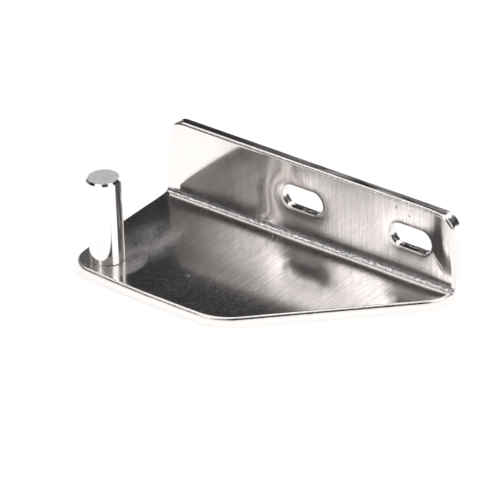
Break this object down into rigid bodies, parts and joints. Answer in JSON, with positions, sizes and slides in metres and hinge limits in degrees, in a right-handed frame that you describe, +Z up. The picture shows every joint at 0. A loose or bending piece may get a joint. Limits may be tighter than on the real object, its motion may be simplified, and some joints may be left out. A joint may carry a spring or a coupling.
{
  "type": "door hinge bracket with pivot pin",
  "caption": "Folded plated-steel hinge bracket: a slotted mounting flange along a tapered plate, with an upright pivot pin at the narrow nose that carries the door",
  "frame": {"origin": "middle of the bracket's length and depth, on the underside of the plate", "axes": "+X along the flange, from the pin's end toward the end with the angled cut; +Y from the plate toward the flange's mounting face; +Z up, the way the pin stands"},
  "size_m": [0.0954, 0.051, 0.0278],
  "materials": {
    "bracket_plating": "bright plating over steel sheet, with a fine brushed grain and soft reflections",
    "pin_plating": "bright smooth plating, with a slightly rough cut end"
  },
  "bodies": {
    "root": {"bracket": "bracket_plating", "pivot_pin": "pin_plating"}
  },
  "joints": []
}
